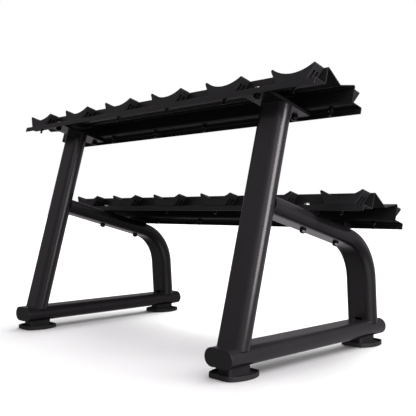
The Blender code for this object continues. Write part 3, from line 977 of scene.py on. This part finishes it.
def upright_foot_weld(x):
    """Beads where an upright stands on its base tube."""
    return foot_weld(upright_place(x))


def leg_foot_weld(x):
    """Beads where a leg stands on its base tube, with its vent in the face towards +Y."""
    last = leg_frames(x)[-1]
    vent_face = 1 if (last.to_3x3() @ Vector((0, 1, 0))).y > 0 else -1
    return foot_weld(last, vent_face)


def plate_weld(x):
    """Bead round an upright's top, under its plate."""
    place = upright_place(x) @ Matrix.Translation((0, 0, -(FLOOR_TOP + PLATE_THICKNESS + GAP)))
    return make_weld([place @ Vector((u, v, 0)) for u, v in racetrack(GAP)])


def leg_head_weld(x, side):
    """Short bead above or below the leg where its flat meets the upright's flat."""
    place = upright_place(x)
    inverse = place.inverted()
    half = (TUBE_WIDTH - TUBE_DEPTH) / 2 + WELD_PAST_FLAT
    tier = on_tier("lower", x)
    height = -LEG_DROP_BELOW_FLOOR + side * TUBE_DEPTH / 2
    points = []
    for i in range(CORNER_STEPS + 1):
        u = half * (2 * i / CORNER_STEPS - 1)
        near = inverse @ (tier @ Vector((u, 0, height)))
        far = inverse @ (tier @ Vector((u, TUBE_WIDTH, height)))
        share = (-TUBE_DEPTH / 2 - near.y) / (far.y - near.y)
        points.append(tier @ Vector((u, TUBE_WIDTH * share, height)))
    return make_weld(points, closed=False)


# ---------------------------------------------------------------- feet


def pad_end(y, flat, inset):
    """Eases a distance along a pad's oval over into the flat end of the pad."""
    length = flat + PAD_OVERHANG - inset
    start = flat - PAD_CORNER - inset
    if abs(y) <= start:
        return y
    left = 1 - (abs(y) - start) / (length - start)
    eased = start + PAD_CORNER * (1 - left ** ((length - start) / PAD_CORNER))
    return math.copysign(eased, y)


def make_pad(size):
    """Foot pad: a shallow oval dish with flattened ends and a rounded rim."""
    half_width = size.x / 2
    flat = size.y / 2
    height = size.z
    rounding = small_rounding(PAD_EDGE)
    outer_rim = [(inset, height - drop) for inset, drop in rounding]
    inner_rim = [(PAD_RIM - inset, height - drop) for inset, drop in rounding[::-1]]
    dish = [(PAD_RIM + inset, PAD_FLOOR + rise) for inset, rise in PAD_DISH]
    levels = [*PAD_SOLE, *outer_rim, *inner_rim, *dish]
    rings = []
    for inset, z in levels:
        ring = []
        for cosine, sine in arc((0, 0), 1, 0, 2 * math.pi, PAD_FACETS)[:-1]:
            y = pad_end((flat + PAD_OVERHANG - inset) * sine, flat, inset)
            ring.append(((half_width - inset) * cosine, y, z))
        rings.append(ring)
    return loft(rings)


def make_block(size):
    """Block that carries the base tube on a pad."""
    outline = rounded_rectangle(size.x, size.y, BLOCK_CORNER)
    return soften(prism(outline, -size.z / 2, size.z / 2), BLOCK_EDGE)


# ---------------------------------------------------------------- the rack


def build_tier(label):
    """A tray with its saddles and their bolts."""
    sheet = moved(make_tray(), on_tier(label))
    nodes = [f"{label}_tray"]
    show(f"{label}_tray_sheet", sheet, "tray_powder_coat", nodes, smooth_below=TRAY_SMOOTH_BELOW)
    saddle = make_saddle()
    bolt = make_saddle_bolt()
    for row, y in (("front", -ROW_OFFSET), ("back", ROW_OFFSET)):
        for number, x in enumerate(SADDLE_XS, 1):
            node = f"{label}_{row}_saddle_{number}"
            place = on_tier(label, x, y, FLOOR_TOP + GAP)
            show(f"{node}_moulding", moved(saddle.copy(), place), "saddle_plastic", [node])
            fixing = moved(bolt.copy(), on_tier(label, x, y))
            show(f"{node}_bolt", fixing, "zinc_steel", extra=[BLACK_STEEL])


def build_frame(label):
    """Tubes, welds, caps, feet, plate, spacers and bolts of one end frame."""
    x = FRAME_X[label]
    coat = "frame_powder_coat"
    base_length = node_size(f"{label}_base_tube").y
    show(f"{label}_base_tube_steel", make_base_tube(x, base_length), coat, [f"{label}_base_tube"])
    show(f"{label}_upright_steel", make_upright(x), coat, [f"{label}_upright"])
    show(f"{label}_leg_steel", make_leg(x), coat, [f"{label}_leg"])
    show(f"{label}_upright_foot_weld", upright_foot_weld(x), coat)
    show(f"{label}_leg_foot_weld", leg_foot_weld(x), coat)
    show(f"{label}_plate_weld", plate_weld(x), coat)
    show(f"{label}_leg_upper_weld", leg_head_weld(x, 1), coat)
    show(f"{label}_leg_lower_weld", leg_head_weld(x, -1), coat)
    plate = moved(make_plate(), on_tier("upper", x, 0, -FLOOR_TOP - GAP))
    show(f"{label}_top_plate_steel", plate, coat, [f"{label}_top_plate"])
    grips = {
        "upper": SHEET + GAP + PLATE_THICKNESS,
        "lower": FLOOR_TOP + LEG_DROP_BELOW_FLOOR + TUBE_DEPTH / 2,
    }
    for side, sign in (("front", -1), ("back", 1)):
        spacer = moved(make_spacer(), on_tier("lower", x, sign * ROW_OFFSET, -FLOOR_TOP - GAP))
        show(f"{label}_{side}_spacer_block", spacer, coat, [f"{label}_{side}_spacer"])
        for level, grip in grips.items():
            node = f"{label}_{level}_{side}_bolt"
            bolt = moved(make_frame_bolt(grip), on_tier(level, x, sign * ROW_OFFSET, FLOOR_TOP))
            show(f"{node}_steel", bolt, "zinc_steel", [node], extra=[BLACK_STEEL])
        end = sign * (base_length / 2 + CAP_FLANGE + GAP)
        cap = moved(make_cap(sign), Matrix.Translation((x, end, BASE_Z)))
        show(f"{label}_{side}_cap_moulding", cap, "cap_plastic", [f"{label}_{side}_cap"])
        block = f"{label}_{side}_foot_block"
        body = moved(make_block(node_size(block)), Matrix.Translation(middle(block)))
        show(f"{block}_moulding", body, "cap_plastic", [block])
        pad = f"{label}_{side}_foot_pad"
        centre = middle(pad)
        sole = Vector((centre.x, centre.y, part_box(pad)[0].z))
        dish = moved(make_pad(node_size(pad)), Matrix.Translation(sole))
        show(f"{pad}_rubber", dish, "foot_rubber", [pad])


# ---------------------------------------------------------------- studio


def direction(azimuth, elevation):
    """Unit vector towards a compass direction: azimuth from +X over +Y, elevation upwards."""
    turn = math.radians(azimuth)
    rise = math.radians(elevation)
    return Vector((math.cos(rise) * math.cos(turn), math.cos(rise) * math.sin(turn), math.sin(rise)))


def room_glow(tree, coordinates):
    """Glow of the room from straight below to straight above."""
    split = tree.nodes.new("ShaderNodeSeparateXYZ")
    tree.links.new(coordinates, split.inputs["Vector"])
    height = tree.nodes.new("ShaderNodeMapRange")
    height.inputs["From Min"].default_value = -1
    tree.links.new(split.outputs["Z"], height.inputs["Value"])
    glow = tree.nodes.new("ShaderNodeValToRGB")
    tree.links.new(height.outputs["Result"], glow.inputs["Fac"])
    while len(glow.color_ramp.elements) < len(ROOM):
        glow.color_ramp.elements.new(0.5)
    for element, (position, value) in zip(glow.color_ramp.elements, ROOM):
        element.position = position
        element.color = (value, value, value, 1)
    return glow.outputs["Color"]


def pool_of_light(tree, coordinates, azimuth, elevation, spread, strength):
    """Round soft-edged patch of light in one direction."""
    dot = tree.nodes.new("ShaderNodeVectorMath")
    dot.operation = "DOT_PRODUCT"
    dot.inputs[1].default_value = direction(azimuth, elevation)
    tree.links.new(coordinates, dot.inputs[0])
    pool = tree.nodes.new("ShaderNodeMapRange")
    pool.interpolation_type = "SMOOTHSTEP"
    pool.inputs["From Min"].default_value = math.cos(math.radians(spread))
    pool.inputs["From Max"].default_value = math.cos(math.radians(spread * POOL_CORE))
    pool.inputs["To Max"].default_value = strength
    tree.links.new(dot.outputs["Value"], pool.inputs["Value"])
    return pool.outputs["Result"]


def make_world():
    """Studio surround: dim room, soft pools of light on its walls, plain white backdrop."""
    world = bpy.data.worlds.new("studio")
    world.use_nodes = True
    bpy.context.scene.world = world
    tree = world.node_tree
    coordinates = tree.nodes.new("ShaderNodeTexCoord").outputs["Generated"]
    total = room_glow(tree, coordinates)
    for pool in POOLS:
        both = tree.nodes.new("ShaderNodeMath")
        tree.links.new(total, both.inputs[0])
        tree.links.new(pool_of_light(tree, coordinates, *pool), both.inputs[1])
        total = both.outputs["Value"]
    room = tree.nodes["Background"]
    tree.links.new(total, room.inputs["Strength"])
    room.inputs["Color"].default_value = (*TINT, 1)
    white = tree.nodes.new("ShaderNodeBackground")
    white.inputs["Color"].default_value = (1, 1, 1, 1)
    path = tree.nodes.new("ShaderNodeLightPath")
    mix = tree.nodes.new("ShaderNodeMixShader")
    tree.links.new(path.outputs["Is Camera Ray"], mix.inputs["Fac"])
    tree.links.new(room.outputs["Background"], mix.inputs[1])
    tree.links.new(white.outputs["Background"], mix.inputs[2])
    tree.links.new(mix.outputs["Shader"], tree.nodes["World Output"].inputs["Surface"])


def make_floor():
    """Pale floor, which only the camera and the floor's own lamp take notice of."""
    mesh = bpy.data.meshes.new("floor")
    corners = [(-1, -1), (1, -1), (1, 1), (-1, 1)]
    mesh.from_pydata([(x * FLOOR_HALF, y * FLOOR_HALF, 0) for x, y in corners], [], [(0, 1, 2, 3)])
    floor = bpy.data.objects.new("floor", mesh)
    bpy.context.scene.collection.objects.link(floor)
    shader = Shader("pale_floor", 0.9)
    tone = shader.blend(shader.noise(scale=3), (0.80, 0.80, 0.80), (0.82, 0.82, 0.82))
    mesh.materials.append(shader.finish(tone))
    floor.visible_glossy = False
    floor.visible_diffuse = False
    return floor


def make_softbox(name, receivers, place, target, wide, high, strength):
    """Rectangular lamp with an even glow for the pieces whose names start as receivers say."""
    light = bpy.data.lights.new(name, "AREA")
    light.shape = "RECTANGLE"
    light.size = wide
    light.size_y = high
    light.energy = strength * math.pi * wide * high
    light.color = TINT
    lamp = bpy.data.objects.new(name, light)
    lamp.location = place
    lamp.rotation_euler = (Vector(target) - Vector(place)).to_track_quat("-Z", "Y").to_euler()
    bpy.context.scene.collection.objects.link(lamp)
    meshes = [piece for piece in bpy.context.scene.objects if piece.type == "MESH"]
    only_for(lamp, [piece for piece in meshes if piece.name.startswith(receivers)])


def make_sun():
    """Very wide light from high up in front that lays soft shadows behind the rack."""
    light = bpy.data.lights.new("floor_sun", "SUN")
    light.energy = SUN_ENERGY
    light.angle = SUN_SPREAD
    lamp = bpy.data.objects.new("floor_sun", light)
    lamp.rotation_euler.x = SUN_TILT
    bpy.context.scene.collection.objects.link(lamp)
    return lamp


def only_for(lamp, receivers):
    """Lets a lamp light nothing but some objects."""
    group = bpy.data.collections.new(f"{lamp.name}_receivers")
    for receiver in receivers:
        group.objects.link(receiver)
    lamp.light_linking.receiver_collection = group


def make_camera():
    """Camera low behind the rack, looking along its diagonal at half height."""
    data = bpy.data.cameras.new("camera")
    data.sensor_width = CAMERA_SENSOR
    data.lens = CAMERA_LENS
    data.shift_x, data.shift_y = CAMERA_SHIFT
    data.clip_start = CAMERA_NEAR
    camera = bpy.data.objects.new("camera", data)
    forward = Vector((math.sin(CAMERA_YAW), -math.cos(CAMERA_YAW), math.tan(CAMERA_PITCH)))
    camera.location = CAMERA_PLACE
    camera.rotation_euler = forward.to_track_quat("-Z", "Y").to_euler()
    bpy.context.scene.collection.objects.link(camera)
    bpy.context.scene.camera = camera


make_camera()
for tier_label in TIERS:
    build_tier(tier_label)
for frame_label in FRAME_X:
    build_frame(frame_label)
make_world()
for box in SOFTBOXES:
    make_softbox(*box)
only_for(make_sun(), [make_floor()])
bpy.context.scene.view_settings.view_transform = "Standard"
